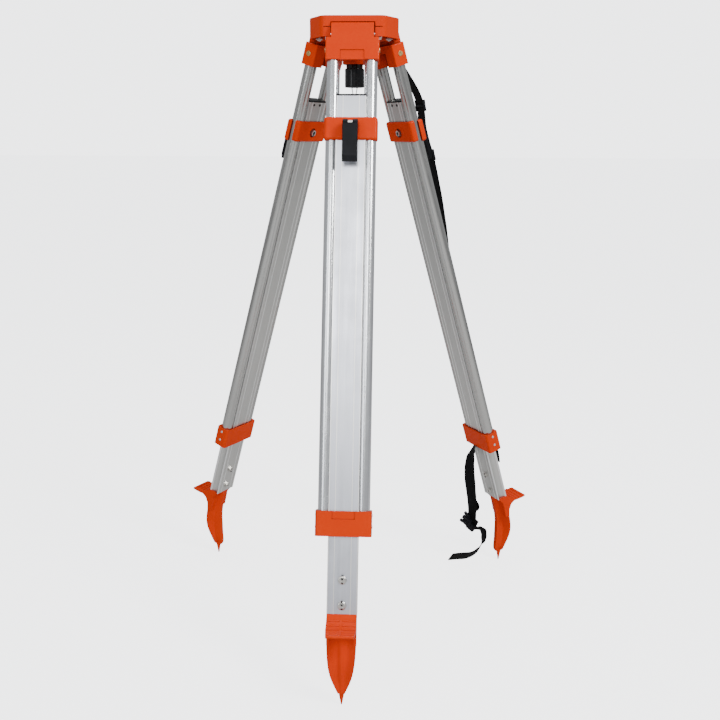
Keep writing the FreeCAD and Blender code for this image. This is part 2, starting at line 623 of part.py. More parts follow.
def foot_screws():
    """Pan-head screws outside, nuts inside."""
    pieces = []
    for u in FOOT_SCREWS_U:
        head = rod_w(6.8, (RAIL_DEPTH, RAIL_DEPTH + 3.2), u)
        head = smoothed(head, 2.2, lambda edge: edge.BoundBox.Center.x > RAIL_DEPTH + 3
                        and isinstance(edge.Curve, Part.Circle))
        for angle in (0, 90):
            blade = leg_box((u - 3.2, u + 3.2), (-0.7, 0.7), (RAIL_DEPTH + 1.6, RAIL_DEPTH + 4))
            blade.rotate(V(0, 0, -u), V(1, 0, 0), angle + 35)
            head = head.cut(blade)
        screw = head.fuse(rod_w(3.0, (-RAIL_DEPTH - 4.4, RAIL_DEPTH + 0.5), u))
        nut = hex_bar(10.0, V(-RAIL_DEPTH - 3.6, 0, -u), V(1, 0, 0), 3.6)
        pieces += [screw, nut.cut(rod_w(3.0, (-20, 0), u))]
    return Part.makeCompound(pieces)


# ---------------------------------------------------------------- webbing on one leg

def webbing(name, points, v):
    """Flat strap over a route of (u, w) points: straight runs joined by tangent arcs, made as one outline."""
    route = [V(w, v[0], -u) for u, w in points]
    half = WEB_THICK / 2
    near, far, length = [], [], 0.0
    start = route[0]
    across = V(0, 1, 0)
    for before, corner, after in zip(route, route[1:], route[2:]):
        d0, d1 = (corner - before).normalize(), (after - corner).normalize()
        turn = d0.getAngle(d1)
        short = min((corner - before).Length, (after - corner).Length)
        radius = 0.45 * short / math.tan(turn / 2)
        back = radius * math.tan(turn / 2)
        enter, leave = corner - d0 * back, corner + d1 * back
        print(f"{name}: radius {radius:.1f}, run {(corner - before).Length:.1f}")
        side = 1.0 if across.dot(d0.cross(d1)) > 0 else -1.0
        centre = enter + across.cross(d0) * side * radius
        middle = centre + (corner - centre).normalize() * radius
        for edges, offset in ((near, half), (far, -half)):
            shifted = [p + (p - centre).normalize() * offset * -side for p in (enter, middle, leave)]
            edges.append(Part.LineSegment(start + across.cross(d0) * offset, shifted[0]).toShape())
            edges.append(Part.Arc(*shifted).toShape())
        length += (enter - start).Length + radius * turn
        start, last = leave, d1
    for edges, offset in ((near, half), (far, -half)):
        shift = across.cross(last) * offset
        edges.append(Part.LineSegment(start + shift, route[-1] + shift).toShape())
    length += (route[-1] - start).Length
    d0 = (route[1] - route[0]).normalize()
    first = [route[0] + across.cross(d0) * half, route[0] - across.cross(d0) * half]
    final = [route[-1] + across.cross(last) * half, route[-1] - across.cross(last) * half]
    ends = [Part.LineSegment(*first).toShape(), Part.LineSegment(*final).toShape()]
    outline = Part.Wire(Part.__sortEdges__(near + far + ends))
    strap = Part.Face(outline).extrude(V(0, v[1] - v[0], 0))
    wanted = length * WEB_THICK * (v[1] - v[0])
    print(f"{name}: length {length:.1f}, volume {strap.Volume:.0f} against {wanted:.0f}")
    return strap


SHOULDER_SIDE = (15.5, 15.5 + WEB_WIDTH)
SHOULDER_ROUTE = [
    (36, 17), (50, 30), (66, 40.5), (86, 47.5), (106, 54), (127, 58), (148, 55), (168, 51), (190, 51.5),
    (214, 52.6), (240, 52.3), (270, 51), (304, 48.8), (342, 45.6), (382, 40.9), (424, 33.8), (470, 26.5),
    (520, 21.8), (572, 19.6), (622, 18.6), (670, 17.9), (715, 17.6), (755, 16.6), (782, 15.4), (808, 15.1),
    (832, 15.5),
]
CLOSING_SIDE = (1.5, 1.5 + WEB_WIDTH)
CLOSING_ROUTE = [
    (807.8, -13), (815, -18.5), (826, -29.5), (845, -38), (870, -44), (897, -48.3), (924, -52), (948, -57.3),
    (967, -63.5), (981, -64.5), (989.5, -55.5), (997, -45), (1010, -42), (1024, -47.5), (1036, -59),
    (1042, -76), (1038.5, -94), (1029, -110.5), (1019.5, -131.5),
]
SLIDERS = {"strap_slider": (133.0, 57.0, 6.0), "strap_keeper": (222.0, 52.1, 1.0)}
BUCKLE_PLACE = (962.0, -71.5, -52.5)


def framed(strap, length, width, thick, place, v):
    """A moulded frame around a strap at place = (u, w, tilt), cut to let the strap through."""
    u, w, tilt = place
    frame = leg_box((-length / 2, length / 2), (v - width / 2, v + width / 2), (-thick / 2, thick / 2))
    frame = smoothed(frame, 1.5, lambda edge: is_along(edge, V(1, 0, 0)))
    frame.rotate(V(0, 0, 0), V(0, 1, 0), tilt)
    frame.translate(V(w, 0, -u))
    return frame.cut(strap)


def strap_anchor():
    """Folded steel loop riveted to the hinge block; the shoulder strap starts in it."""
    v = (SHOULDER_SIDE[0] - 2, SHOULDER_SIDE[1] + 2)
    loop = leg_box((22, 38), v, (BLOCK_FRONT, BLOCK_FRONT + 2))
    loop = loop.fuse(leg_box((30, 34), v, (BLOCK_FRONT, BLOCK_FRONT + 4.4)))
    for side in v[0] + 4, v[1] - 4:
        loop = loop.fuse(rod_w(2.0, (BLOCK_FRONT + 1, BLOCK_FRONT + 3), 25.5, side))
    return loop


# ---------------------------------------------------------------- assembly

def leg_parts():
    """Nodes of one leg in the leg frame."""
    return {
        "hinge_block": hinge_block(),
        "leg_tubes": Part.makeCompound(both_sides(leg_tube)),
        "socket_screws": Part.makeCompound(both_sides(socket_screw)),
        "lower_collar": lower_collar(),
        "collar_rivets": collar_rivets(),
        "leg_rail": leg_rail(),
        "end_cap": Part.makeCompound([end_cap(), cap_rivets()]),
        "clamp_outer": clamp_outer(),
        "clamp_inner": clamp_inner(),
        "clamp_bolt": Part.makeCompound([clamp_bolt(), clamp_nut()]),
        "lever": clamp_lever(),
        "lever_pin": lever_pin(),
        "foot": foot_casting(),
        "foot_screws": foot_screws(),
    }


def head_parts():
    return {
        "head_casting": head_casting(),
        "hinge_pins": hinge_pins(),
        "tension_bolts": tension_bolts(),
        "centring_arm": centring_arm(),
        "arm_rivet": arm_rivet(),
        "screw_shoe": screw_shoe(),
        "screw_flange": screw_flange(),
        "fixing_screw": fixing_screw(),
        "stop_ring": stop_ring(),
        "screw_knob": screw_knob(),
        "plumb_saddle": plumb_saddle(),
        "plumb_hook": plumb_hook(),
    }


def strap_parts():
    azimuth = LEG_AZIMUTHS[STRAP_LEG]
    shoulder = webbing("shoulder_strap", SHOULDER_ROUTE, SHOULDER_SIDE)
    closing = webbing("closing_strap", CLOSING_ROUTE, CLOSING_SIDE)
    middle, closing_middle = sum(SHOULDER_SIDE) / 2, sum(CLOSING_SIDE) / 2
    shapes = {
        "shoulder_strap": shoulder,
        "closing_strap": closing,
        "strap_anchor": strap_anchor().cut(shoulder),
        "closing_buckle": framed(closing, 28.0, 30.0, 8.0, BUCKLE_PLACE, closing_middle),
    }
    for name, place in SLIDERS.items():
        shapes[name] = framed(shoulder, 20.0, 29.5, 7.0, place, middle)
    return {name: place_on_leg(shape, azimuth) for name, shape in shapes.items()}


def main():
    os.makedirs("parts", exist_ok=True)
    nodes = head_parts()
    leg = leg_parts()
    for place, azimuth in LEG_AZIMUTHS.items():
        for name, shape in leg.items():
            nodes[f"{name}_{place}"] = place_on_leg(shape, azimuth)
    nodes.update(strap_parts())
    for name, shape in nodes.items():
        print(f"{name}: {shape.Volume:.0f} mm3, {len(shape.Solids)} solids, valid {shape.isValid()}")
        shape.exportStep(f"parts/{name}.step")


main()
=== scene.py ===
"""Looks of the surveyor's tripod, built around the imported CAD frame. Metres, +Z up."""

import json
import math
import random

import bmesh
import bpy
from mathutils import Matrix, Quaternion, Vector


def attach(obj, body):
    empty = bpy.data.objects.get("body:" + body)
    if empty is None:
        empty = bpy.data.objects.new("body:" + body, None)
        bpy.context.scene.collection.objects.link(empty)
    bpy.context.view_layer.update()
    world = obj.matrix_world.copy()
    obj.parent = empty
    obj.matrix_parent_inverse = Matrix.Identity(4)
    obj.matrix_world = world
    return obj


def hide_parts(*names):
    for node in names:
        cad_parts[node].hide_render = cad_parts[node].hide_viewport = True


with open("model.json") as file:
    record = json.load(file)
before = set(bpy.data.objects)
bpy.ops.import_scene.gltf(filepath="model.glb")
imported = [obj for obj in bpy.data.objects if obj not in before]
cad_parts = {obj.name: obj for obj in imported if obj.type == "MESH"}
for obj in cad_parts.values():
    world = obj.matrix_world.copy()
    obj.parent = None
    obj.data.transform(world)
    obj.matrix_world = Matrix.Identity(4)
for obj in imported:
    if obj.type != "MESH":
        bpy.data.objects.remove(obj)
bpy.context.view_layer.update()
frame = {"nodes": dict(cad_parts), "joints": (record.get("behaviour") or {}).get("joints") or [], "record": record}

NODES = frame["nodes"]
RECORD = frame["record"]
JOINTS = {joint["name"]: joint for joint in frame["joints"]}
# azimuth of each leg in degrees
LEGS = {"front": -90.0, "left": 150.0, "right": 30.0}
# angle of a leg from upright, and where its middle line starts: distance from the head's axis, height
LEAN = math.acos(-JOINTS["leg_slide_front"]["axis"][2])
LEG_ROOT = (0.0537, 1.035)
STRAP_LEG = "right"
MM = 0.001

# ---------------------------------------------------------------- camera, light and floor

CAMERA_AT = Vector((0.0828, -1.5793, 0.8692))
CAMERA_LOOKS = Vector((-0.04388, 0.96922, -0.24227))
CAMERA_ROLL = math.radians(0.25)
CAMERA_LENS = 44.59
CAMERA_SENSOR = 36.0
CAMERA_REACH = 80.0

LIGHTS_AIM = Vector((0.0, 0.0, 0.6))
# place, width and height in metres, power in watts, colour
AREA_LIGHTS = {
    "key": ((1.8, -1.5, 2.5), (0.55, 1.3), 60.0, (1.0, 0.99, 0.97)),
    "front": ((-0.1, -2.9, 2.0), (1.15, 0.9), 31.0, (1.0, 1.0, 1.0)),
    "left": ((-1.5, -2.3, 1.5), (0.8, 1.8), 15.0, (0.95, 0.97, 1.0)),
    "top": ((0.0, 0.2, 3.0), (1.6, 1.6), 18.0, (1.0, 1.0, 1.0)),
}

STAGE_TINT = (0.97, 0.98, 1.0, 1.0)
BACKDROP_GLOW = 3.7
FLOOR_GLOW = 3.2
STUDIO_LIGHT = 0.42
FLOOR_HALF = 40.0
FLOOR_DROP = 0.0005
FLOOR_GREY = (0.60, 0.60, 0.60, 1.0)
FLOOR_ROUGHNESS = 0.9


def make_camera():
    data = bpy.data.cameras.new("camera")
    data.lens = CAMERA_LENS
    data.sensor_width = CAMERA_SENSOR
    data.clip_end = CAMERA_REACH
    camera = bpy.data.objects.new("camera", data)
    camera.location = CAMERA_AT
    aim = CAMERA_LOOKS.to_track_quat("-Z", "Y") @ Quaternion((0, 0, 1), CAMERA_ROLL)
    camera.rotation_euler = aim.to_euler()
    bpy.context.scene.collection.objects.link(camera)
    bpy.context.scene.camera = camera


def make_lights():
    for name, (at, size, power, colour) in AREA_LIGHTS.items():
        data = bpy.data.lights.new(name, "AREA")
        data.shape = "RECTANGLE"
        data.size, data.size_y = size
        data.energy = power
        data.color = colour
        light = bpy.data.objects.new(name, data)
        light.location = at
        light.rotation_euler = (LIGHTS_AIM - Vector(at)).to_track_quat("-Z", "Y").to_euler()
        bpy.context.scene.collection.objects.link(light)


def make_world():
    """An even pale backdrop to the eye, and a darker studio to the light that falls on the object."""
    world = bpy.data.worlds.new("studio")
    world.use_nodes = True
    tree = world.node_tree
    background = tree.nodes["Background"]
    background.inputs["Color"].default_value = STAGE_TINT
    seen = tree.nodes.new("ShaderNodeLightPath")
    strength = tree.nodes.new("ShaderNodeMapRange")
    tree.links.new(seen.outputs["Is Camera Ray"], strength.inputs["Value"])
    strength.inputs["To Min"].default_value = STUDIO_LIGHT
    strength.inputs["To Max"].default_value = BACKDROP_GLOW
    tree.links.new(strength.outputs["Result"], background.inputs["Strength"])
    bpy.context.scene.world = world


def make_floor():
    """A pale floor that glows to the eye only, so that it runs into the backdrop."""
    mesh = bpy.data.meshes.new("floor")
    corners = [(x * FLOOR_HALF, y * FLOOR_HALF, 0) for x, y in ((-1, -1), (1, -1), (1, 1), (-1, 1))]
    mesh.from_pydata(corners, [], [(0, 1, 2, 3)])
    floor = bpy.data.objects.new("floor", mesh)
    floor.location.z = -FLOOR_DROP
    bpy.context.scene.collection.objects.link(floor)
    material = bpy.data.materials.new("floor")
    material.use_nodes = True
    tree = material.node_tree
    shader = tree.nodes["Principled BSDF"]
    shader.inputs["Base Color"].default_value = FLOOR_GREY
    shader.inputs["Roughness"].default_value = FLOOR_ROUGHNESS
    shader.inputs["Emission Color"].default_value = STAGE_TINT
    seen = tree.nodes.new("ShaderNodeLightPath")
    glow = tree.nodes.new("ShaderNodeMath")
    glow.operation = "MULTIPLY"
    glow.inputs[1].default_value = FLOOR_GLOW
    tree.links.new(seen.outputs["Is Camera Ray"], glow.inputs[0])
    tree.links.new(glow.outputs[0], shader.inputs["Emission Strength"])
    mesh.materials.append(material)


# ---------------------------------------------------------------- material helpers

# colour of the painted shade in gaps and inner corners
CREVICE_SHADE_COLOUR = (0.02, 0.02, 0.02)
CREVICE_SAMPLES = 12
# how open a spot has to be for the darkest painted shade and for the full colour
CREVICE_CLOSED, CREVICE_OPEN = 0.25, 0.85


class Nodes:
    """Short way to write a node tree."""

    def __init__(self, name):
        self.material = bpy.data.materials.new(name)
        self.material.use_nodes = True
        self.tree = self.material.node_tree
        self.shader = self.tree.nodes["Principled BSDF"]

    def add(self, kind, inputs=None, **settings):
        node = self.tree.nodes.new(kind)
        for key, value in settings.items():
            setattr(node, key, value)
        for key, value in (inputs or {}).items():
            self.join(value, node.inputs[key])
        return node

    def join(self, value, socket):
        if isinstance(value, bpy.types.NodeSocket):
            self.tree.links.new(value, socket)
        else:
            socket.default_value = value

    def set(self, **values):
        for key, value in values.items():
            self.join(value, self.shader.inputs[key.replace("_", " ")])

    def coordinates(self):
        return self.add("ShaderNodeTexCoord").outputs["Object"]

    def stretched(self, azimuth, scale):
        """Coordinates turned into a leg's frame, then scaled: x outwards, y sideways, z along the leg."""
        turn = self.add("ShaderNodeMapping", {"Vector": self.coordinates(),
                                              "Rotation": (0, 0, math.radians(-azimuth))})
        tilt = self.add("ShaderNodeMapping", {"Vector": turn.outputs[0], "Rotation": (0, LEAN, 0)})
        return self.add("ShaderNodeMapping", {"Vector": tilt.outputs[0], "Scale": scale}).outputs[0]

    def noise(self, vector, scale, detail=3.0, roughness=0.5):
        node = self.add("ShaderNodeTexNoise", {"Vector": vector, "Scale": scale, "Detail": detail,
                                               "Roughness": roughness})
        return node.outputs["Fac"]

    def ramp(self, fac, low, high, start, end):
        """Maps fac from start..end to low..high."""
        node = self.add("ShaderNodeMapRange", {"Value": fac, "From Min": start, "From Max": end,
                                               "To Min": low, "To Max": high})
        return node.outputs["Result"]

    def mix(self, fac, a, b):
        node = self.add("ShaderNodeMix", data_type="RGBA")
        self.tree.links.new(fac, node.inputs[0])
        for socket, value in ((node.inputs[6], a), (node.inputs[7], b)):
            self.join((*value, 1.0) if isinstance(value, tuple) else value, socket)
        return node.outputs[2]

    def bump(self, height, strength, distance):
        inputs = {"Height": height, "Strength": strength, "Distance": distance}
        return self.add("ShaderNodeBump", inputs).outputs["Normal"]

    def maths(self, operation, *values):
        node = self.add("ShaderNodeMath", operation=operation)
        for socket, value in zip(node.inputs, values):
            self.join(value, socket)
        return node.outputs[0]

    def painted_crevice_shade(self, colour, reach, darkest):
        """The colour with painted shade: darker in gaps and inner corners that are narrower than reach."""
        openness = self.add("ShaderNodeAmbientOcclusion", {"Distance": reach}, samples=CREVICE_SAMPLES)
        shade = self.ramp(openness.outputs["AO"], darkest, 1.0, CREVICE_CLOSED, CREVICE_OPEN)
        return self.mix(shade, CREVICE_SHADE_COLOUR, colour)

    def wave(self, value, period):
        """Sine of a length in metres, from -1 to 1."""
        return self.maths("SINE", self.maths("MULTIPLY", value, 2 * math.pi / period))

    def painted_bead_highlights(self, azimuth, colour, places, half):
        """The colour with painted highlights: white lines along a leg, at these distances to either side of its
        middle.
        """
        parts = self.add("ShaderNodeSeparateXYZ", {"Vector": self.stretched(azimuth, (1.0, 1.0, 1.0))})
        aside = self.maths("ABSOLUTE", parts.outputs["Y"], 0.0)
        for place in places:
            offset = self.maths("ABSOLUTE", self.maths("SUBTRACT", aside, place), 0.0)
            colour = self.mix(self.maths("LESS_THAN", offset, half), colour, (1.0, 1.0, 1.0))
        return colour


# ---------------------------------------------------------------- materials

THREAD_PITCH = 0.00231
RIB_PITCH = 0.0018
WARP_PITCH = 0.0021
# distances from a rail's middle of the painted highlight lines on its ridges, and their half width
RAIL_BEAD_HIGHLIGHTS = (0.0130, 0.0229)
RAIL_BEAD_HIGHLIGHT_HALF = 0.0008
# darker and lighter tone of each extrusion; the rear legs stand in the shade and get duller ones
FRONT_ALUMINIUM = {
    "tube": ((0.86, 0.885, 0.91), (0.92, 0.94, 0.97)),
    "rail": ((0.71, 0.735, 0.80), (0.78, 0.80, 0.87)),
}
REAR_ALUMINIUM = {
    "tube": ((0.53, 0.53, 0.515), (0.58, 0.58, 0.565)),
    "rail": ((0.64, 0.64, 0.622), (0.70, 0.70, 0.68)),
}
ALUMINIUM_ROUGHNESS = {"tube": (0.20, 0.25), "rail": (0.34, 0.44)}


def orange_paint():
    """Thick satin enamel on castings, with a trace of wear on its edges and of dust, and painted shade in its gaps
    and inner corners.
    """
    m = Nodes("orange_paint")
    at = m.coordinates()
    cloud = m.noise(at, 28.0, 4.0)
    colour = m.mix(m.ramp(cloud, 0.0, 1.0, 0.35, 0.65), (0.68, 0.036, 0.0002), (0.71, 0.040, 0.0003))
    edge = m.add("ShaderNodeNewGeometry").outputs["Pointiness"]
    scuff = m.maths("MULTIPLY", m.ramp(edge, 0.0, 0.05, 0.53, 0.60),
                    m.ramp(m.noise(at, 240.0), 0.0, 1.0, 0.45, 0.6))
    colour = m.mix(scuff, colour, (0.86, 0.12, 0.02))
    dust = m.ramp(m.noise(at, 55.0, 6.0, 0.7), 0.0, 0.02, 0.5, 0.75)
    # painted shade: darker in gaps and inner corners
    colour = m.painted_crevice_shade(m.mix(dust, colour, (0.45, 0.10, 0.03)), 0.006, 0.05)
    peel = m.noise(at, 420.0, 3.0)
    m.set(Base_Color=colour, Roughness=m.ramp(m.noise(at, 60.0), 0.33, 0.37, 0.3, 0.7),
          Normal=m.bump(peel, 0.015, 0.0005), Specular_IOR_Level=0.05,
          Coat_Weight=0.05, Coat_Roughness=0.10)
    return m.material


def aluminium(profile, leg):
    """Satin aluminium of a leg's tubes or rail, with fine lines along it, painted shade in its gaps and inner
    corners, and painted highlight lines along a rail's ridges.
    """
    azimuth = LEGS[leg]
    dark, light = (FRONT_ALUMINIUM if leg == "front" else REAR_ALUMINIUM)[profile]
    m = Nodes(f"aluminium_{profile}_{leg}")
    lines = m.noise(m.stretched(azimuth, (1.0, 1.0, 0.006)), 1600.0, 3.0, 0.6)
    broad = m.noise(m.stretched(azimuth, (1.0, 1.0, 0.05)), 90.0, 3.0)
    # painted shade: darker in gaps and inner corners
    colour = m.painted_crevice_shade(m.mix(m.ramp(lines, 0.0, 1.0, 0.3, 0.7), dark, light), 0.005, 0.45)
    # painted highlights: white lines along the rail's ridges
    if profile == "rail":
        colour = m.painted_bead_highlights(azimuth, colour, RAIL_BEAD_HIGHLIGHTS, RAIL_BEAD_HIGHLIGHT_HALF)
    smudge = m.noise(m.coordinates(), 22.0, 5.0, 0.6)
    rough = m.maths("ADD", m.ramp(broad, *ALUMINIUM_ROUGHNESS[profile], 0.3, 0.7),
                    m.ramp(smudge, 0.0, 0.06, 0.45, 0.7))
    m.set(Base_Color=colour, Metallic=1.0, Roughness=rough, Normal=m.bump(lines, 0.008, 0.0003))
    return m.material


def black_plastic(name, colour, rough_low, rough_high):
    """Grained moulded plastic, a little paler where it is rubbed."""
    m = Nodes(name)
    at = m.coordinates()
    grain = m.noise(at, 1500.0, 2.0)
    rubbed = tuple(1.8 * c for c in colour)
    shade = m.mix(m.ramp(m.noise(at, 70.0, 4.0), 0.0, 1.0, 0.35, 0.7), colour, rubbed)
    m.set(Base_Color=shade, Roughness=m.ramp(grain, rough_low, rough_high, 0.3, 0.7),
          Normal=m.bump(grain, 0.15, 0.0002), Specular_IOR_Level=0.14)
    return m.material


def gloss_plastic():
    """Polished black plastic of the big screw knob."""
    m = Nodes("black_gloss")
    at = m.coordinates()
    smear = m.noise(at, 120.0, 4.0)
    shade = m.mix(m.ramp(smear, 0.0, 1.0, 0.35, 0.7), (0.0022, 0.0024, 0.0032), (0.0040, 0.0042, 0.0052))
    m.set(Base_Color=shade, Roughness=m.ramp(smear, 0.12, 0.24, 0.3, 0.7),
          Normal=m.bump(m.noise(at, 500.0), 0.05, 0.0003), Specular_IOR_Level=0.4)
    return m.material


def steel_hardware():
    """Plated steel with dull patches."""
    m = Nodes("steel_hardware")
    at = m.coordinates()
    patch = m.noise(at, 320.0, 4.0, 0.6)
    colour = m.mix(m.ramp(patch, 0.0, 1.0, 0.35, 0.7), (0.80, 0.79, 0.76), (0.64, 0.62, 0.58))
    m.set(Base_Color=colour, Metallic=1.0, Roughness=m.ramp(patch, 0.22, 0.42, 0.3, 0.7),
          Normal=m.bump(m.noise(at, 1400.0), 0.1, 0.0002))
    return m.material


def brass(name, threaded):
    """Brass; the threaded one has its screw thread as ridges round the upright axis."""
    m = Nodes(name)
    at = m.coordinates()
    patch = m.noise(at, 260.0, 4.0, 0.6)
    colour = m.mix(m.ramp(patch, 0.0, 1.0, 0.35, 0.7), (0.80, 0.62, 0.30), (0.62, 0.44, 0.17))
    m.set(Base_Color=colour, Metallic=1.0, Roughness=m.ramp(patch, 0.2, 0.4, 0.3, 0.7))
    if threaded:
        height = m.add("ShaderNodeSeparateXYZ", {"Vector": at}).outputs["Z"]
        m.set(Normal=m.bump(m.wave(height, THREAD_PITCH), 0.8, 0.0006))
    return m.material


def webbing_material():
    """Black woven polyester: ribs across the strap and threads along it, from the strap's own lengths."""
    m = Nodes("webbing")
    place = m.add("ShaderNodeUVMap", uv_map="weave").outputs["UV"]
    parts = m.add("ShaderNodeSeparateXYZ", {"Vector": place})
    along = m.wave(parts.outputs["X"], RIB_PITCH)
    across = m.wave(parts.outputs["Y"], WARP_PITCH)
    weave = m.maths("MULTIPLY", along, across)
    fuzz = m.noise(m.coordinates(), 2600.0, 2.0)
    height = m.maths("ADD", weave, m.maths("MULTIPLY", fuzz, 0.6))
    colour = m.mix(m.ramp(weave, 0.0, 1.0, -0.8, 0.9), (0.0014, 0.0014, 0.0017), (0.0044, 0.0044, 0.0050))
    m.set(Base_Color=colour, Roughness=m.ramp(fuzz, 0.62, 0.8, 0.3, 0.7),
          Normal=m.bump(height, 0.55, 0.0004), Specular_IOR_Level=0.12, Sheen_Weight=0.01)
    return m.material


def make_materials():
    """Materials by slot, by slot and leg where the finish runs along the leg, and by node for odd ones."""
    made = {
        "orange_paint": orange_paint(),
        "steel_hardware": steel_hardware(),
        "black_plastic": black_plastic("black_plastic", (0.0035, 0.0038, 0.0052), 0.36, 0.5),
        "brass_screw": brass("brass_screw", False),
        "fixing_screw": brass("brass_thread", True),
        "webbing": webbing_material(),
        "screw_knob": gloss_plastic(),
        # near-black pieces in the screw heads: painted shade for the inside of the cross recesses
        "recess": black_plastic("recess_shadow", (0.010, 0.010, 0.011), 0.5, 0.6),
    }
    for leg in LEGS:
        for profile in ("tube", "rail"):
            made[f"aluminium_{profile}", leg] = aluminium(profile, leg)
    return made


def dress_cad_nodes(materials):
    slots = {part["node"]: part["material_slot"] for part in RECORD["subparts"]}
    for name, node in NODES.items():
        leg = name.rsplit("_", 1)[-1]
        choices = (name, slots[name], (slots[name], leg))
        material = next(materials[choice] for choice in choices if choice in materials)
        node.data.materials.clear()
        node.data.materials.append(material)


# ---------------------------------------------------------------- places on a leg

def leg_axes(leg):
    """Outward and sideways unit vectors of a leg."""
    azimuth = math.radians(LEGS[leg])
    out = Vector((math.cos(azimuth), math.sin(azimuth), 0.0))
    return out, Vector((-out.y, out.x, 0.0))


def leg_matrix(leg):
    """Turns (down the leg, sideways, away from it) into row coordinates."""
    out, side = leg_axes(leg)
    up = Vector((0.0, 0.0, 1.0))
    down = out * math.sin(LEAN) - up * math.cos(LEAN)
    away = out * math.cos(LEAN) + up * math.sin(LEAN)
    matrix = Matrix((down, side, away)).transposed().to_4x4()
    matrix.translation = out * LEG_ROOT[0] + up * LEG_ROOT[1]
    return matrix


def on_leg(u, v, w):
    """Point u mm down the strap leg, v mm to its side and w mm off its middle plane, in the row frame."""
    out, side = leg_axes(STRAP_LEG)
    down, off = math.cos(LEAN), math.sin(LEAN)
    reach = LEG_ROOT[0] + (u * off + w * down) * MM
    return out * reach + side * v * MM + Vector((0, 0, LEG_ROOT[1] + (w * off - u * down) * MM))


def leg_frame(u, v, w, tilt):
    """Matrix of a piece on the strap leg: x along it, y sideways, z away from it, tilted by degrees."""
    turn = math.radians(tilt)
    origin = on_leg(u, v, w)
    along = on_leg(u + math.cos(turn), v, w - math.sin(turn)) - origin
    side = on_leg(u, v + 1, w) - origin
    away = on_leg(u + math.sin(turn), v, w + math.cos(turn)) - origin
    matrix = Matrix((along.normalized(), side.normalized(), away.normalized())).transposed().to_4x4()
    matrix.translation = origin
    return matrix


def turned(at, along, side):
    """Matrix of a piece at a place on the strap leg, with its length and width in the given directions."""
    length = along.normalized()
    depth = length.cross(side).normalized()
    matrix = Matrix((length, depth.cross(length), depth)).transposed().to_4x4()
    matrix.translation = on_leg(*at)
    return matrix


def new_piece(name, mesh, material, body):
    mesh.materials.clear()
    mesh.materials.append(material)
    piece = bpy.data.objects.new(name, mesh)
    bpy.context.scene.collection.objects.link(piece)
    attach(piece, body)
    return piece


# ---------------------------------------------------------------- webbing

# millimetres
WEB_HALF = 12.5
WEB_THICK = 1.9
# share of the half width by which the selvedge stands out at mid thickness
SELVEDGE = 1.012
# how the woven edge wanders: sideways and out of its plane, each in mm and radians per metre of strap
SLACK, SLACK_WAVES = 0.12, 190
RIPPLE, RIPPLE_WAVES = 0.18, 95
# u, v, w in mm down, beside and off the strap leg, then the twist in degrees
SHOULDER_ROUTE = [
    (36, 28, 17, 0), (50, 28, 30, 0), (66, 28, 40.5, 0), (86, 28, 47.5, 0),
    (106, 28, 54, 0), (127, 28, 58, 0), (148, 28, 55, 0), (168, 28, 51, 2),
    (190, 28, 51.5, 3), (214, 28, 52.6, 1), (240, 28, 52.3, 0), (270, 28, 51, -2),
    (304, 28.4, 48.8, -3), (342, 28.6, 45.6, -3), (382, 28.4, 40.9, -1), (424, 28, 33.8, 0),
    (470, 28, 26.5, 0), (520, 28, 21.8, 0), (572, 28, 19.6, 0), (622, 28, 18.6, 0),
    (670, 28, 17.9, 0), (715, 28, 17.6, 0), (755, 28, 16.6, 0), (782, 28, 15.4, 0),
    (808, 28, 15.1, 0), (832, 28, 15.5, 0),
]
CLOSING_ROUTE = [
    (807.8, 14, -12.6, 35), (815, 14, -16.6, 16), (826, 14, -26.8, -8), (845, 14, -35.4, -18),
    (870, 14, -41.6, -25), (897, 14, -46.0, -20), (924, 14, -50.0, -12), (948, 14, -55.8, -6),
    (967, 14, -62.5, -10), (981, 14, -64.0, -15), (989.5, 14, -55.5, -38), (997, 14, -45, -26),
    (1010, 14, -42, 2), (1024, 14, -47.5, 14), (1036, 14, -59, 43), (1042, 14, -76, 56),
    (1038.5, 14, -94, 56), (1029, 14, -110.5, 56), (1019.5, 14, -131.5, 56),
]
FOLD_ROUTE = [
    (918, 14, -49.2, -13), (925, 14, -47.2, -12), (932, 14, -44.6, -10), (938.5, 14, -44.8, -9),
    (942, 14, -48.8, -8), (941, 14, -53.0, -8),
]
STUB_ROUTE = [
    (801, -9, 15.2, 0), (812, -9, 16.6, 0), (824, -9, 17.6, 0), (838, -9, 17.2, 0), (850, -9, 15.6, 0),
]


def smooth_line(points):
    """Points of the smooth curve through a route, read back from Blender's own spline."""
    data = bpy.data.curves.new("route", "CURVE")
    data.dimensions = "3D"
    spline = data.splines.new("NURBS")
    spline.points.add(len(points) - 1)
    for knot, point in zip(spline.points, points):
        knot.co = (*point, 1.0)
    spline.order_u = 3
    spline.use_endpoint_u = True
    spline.resolution_u = 6
    curve = bpy.data.objects.new("route", data)
    bpy.context.scene.collection.objects.link(curve)
    bpy.context.view_layer.update()
    mesh = bpy.data.meshes.new_from_object(curve)
    line = [vertex.co.copy() for vertex in mesh.vertices]
    bpy.data.meshes.remove(mesh)
    bpy.data.objects.remove(curve)
    bpy.data.curves.remove(data)
    return line


def web_section():
    """Cross-section of the webbing, sideways and through it in metres, with rounded selvedges."""
    steps = [-1.0, -0.8, -0.4, 0.0, 0.4, 0.8, 1.0]
    crown = [0.55, 0.95, 1.0, 1.0, 1.0, 0.95, 0.55]
    upper = [(WEB_HALF * s, WEB_THICK / 2 * c) for s, c in zip(steps, crown)]
    lower = [(-x, -y) for x, y in upper]
    edge = WEB_HALF * SELVEDGE
    return [(x * MM, y * MM) for x, y in upper + [(edge, 0.0)] + lower + [(-edge, 0.0)]]


def twist_at(route, share):
    """Twist in radians at a share of the way along a route, eased from point to point."""
    place = share * (len(route) - 1)
    knot = min(int(place), len(route) - 2)
    blend = place - knot
    blend = blend * blend * (3 - 2 * blend)
    return math.radians(route[knot][3] * (1 - blend) + route[knot + 1][3] * blend)


